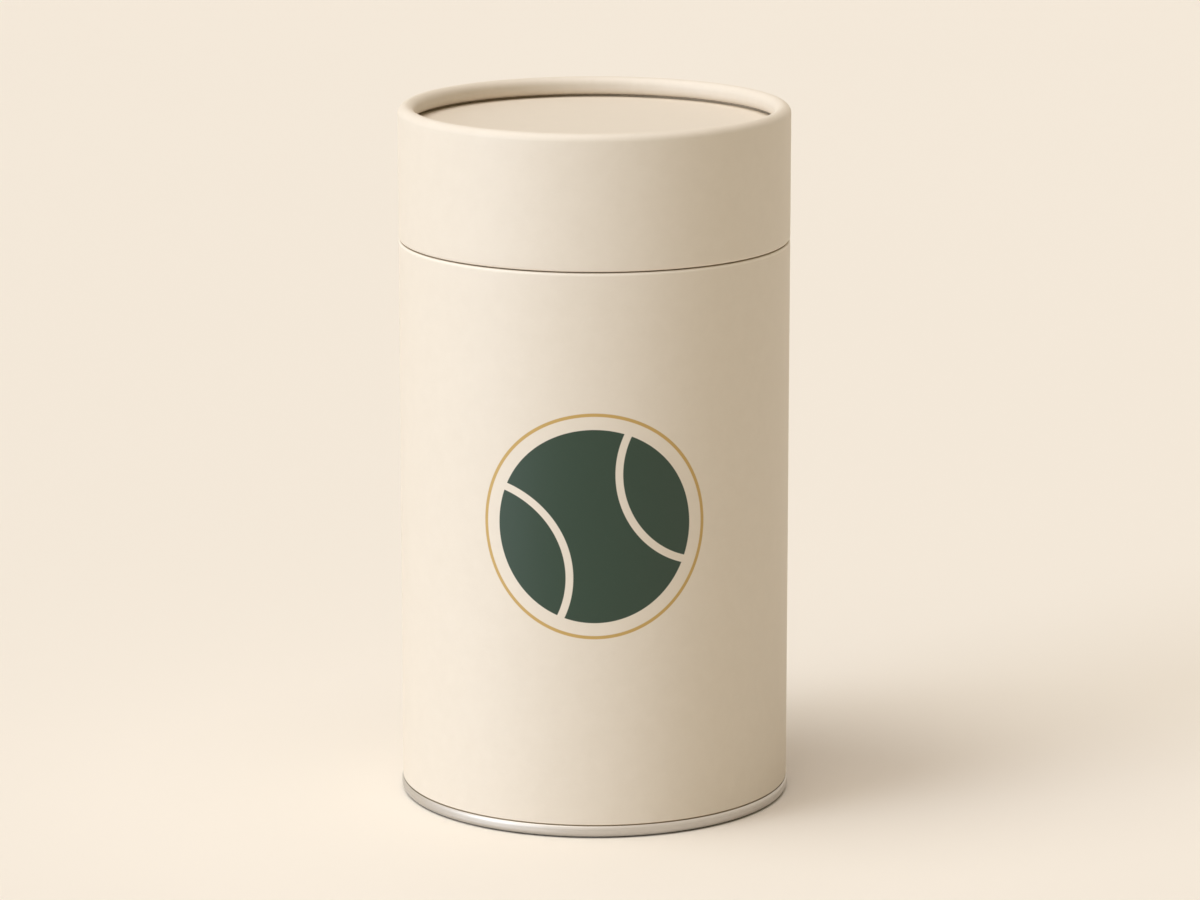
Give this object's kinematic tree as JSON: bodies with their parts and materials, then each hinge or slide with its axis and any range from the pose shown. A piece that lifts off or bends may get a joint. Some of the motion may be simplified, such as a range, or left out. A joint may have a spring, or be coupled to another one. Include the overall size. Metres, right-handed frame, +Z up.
{
  "type": "tennis ball box",
  "caption": "Round paperboard tube box for tennis balls, with a flush slip-on lid with a rolled rim, an inner neck, and a seamed tinplate base.",
  "frame": {"origin": "middle of the base, on the surface that the box stands on", "axes": "+Z up along the tube, -Y towards the viewer of the picture, +X to the viewer's right; the paper wraps lap at the back, on +Y"},
  "size_m": [0.0834, 0.0834, 0.1488],
  "materials": {
    "tube_board": "raw wound greyboard",
    "body_paper": "cream wrap paper, soft satin",
    "neck_board": "raw wound greyboard",
    "neck_paper": "cream wrap paper, soft satin",
    "liner_paper": "white liner paper, matt",
    "tinplate": "satin tinplate",
    "sealing_compound": "grey sealing compound",
    "lid_board": "raw wound greyboard",
    "lid_paper": "cream wrap paper, soft satin",
    "facing_paper": "cream wrap paper, soft satin",
    "disc_board": "pressed greyboard",
    "lining_paper": "white liner paper, matt",
    "ring_board": "raw wound greyboard"
  },
  "bodies": {
    "tube": {"body_tube": "tube_board", "body_wrap": "body_paper", "neck_tube": "neck_board", "neck_wrap": "neck_paper", "neck_liner": "liner_paper", "base_end": "tinplate", "seam_compound": "sealing_compound"},
    "lid": {"lid_tube": "lid_board", "lid_wrap": "lid_paper", "disc_facing": "facing_paper", "lid_disc": "disc_board", "disc_lining": "lining_paper", "lid_ring": "ring_board"}
  },
  "joints": [
    {"name": "lid_lift", "type": "slide", "parent": "tube", "child": "lid", "axis": [0, 0, 1], "range_m": [0, 0.095]}
  ]
}
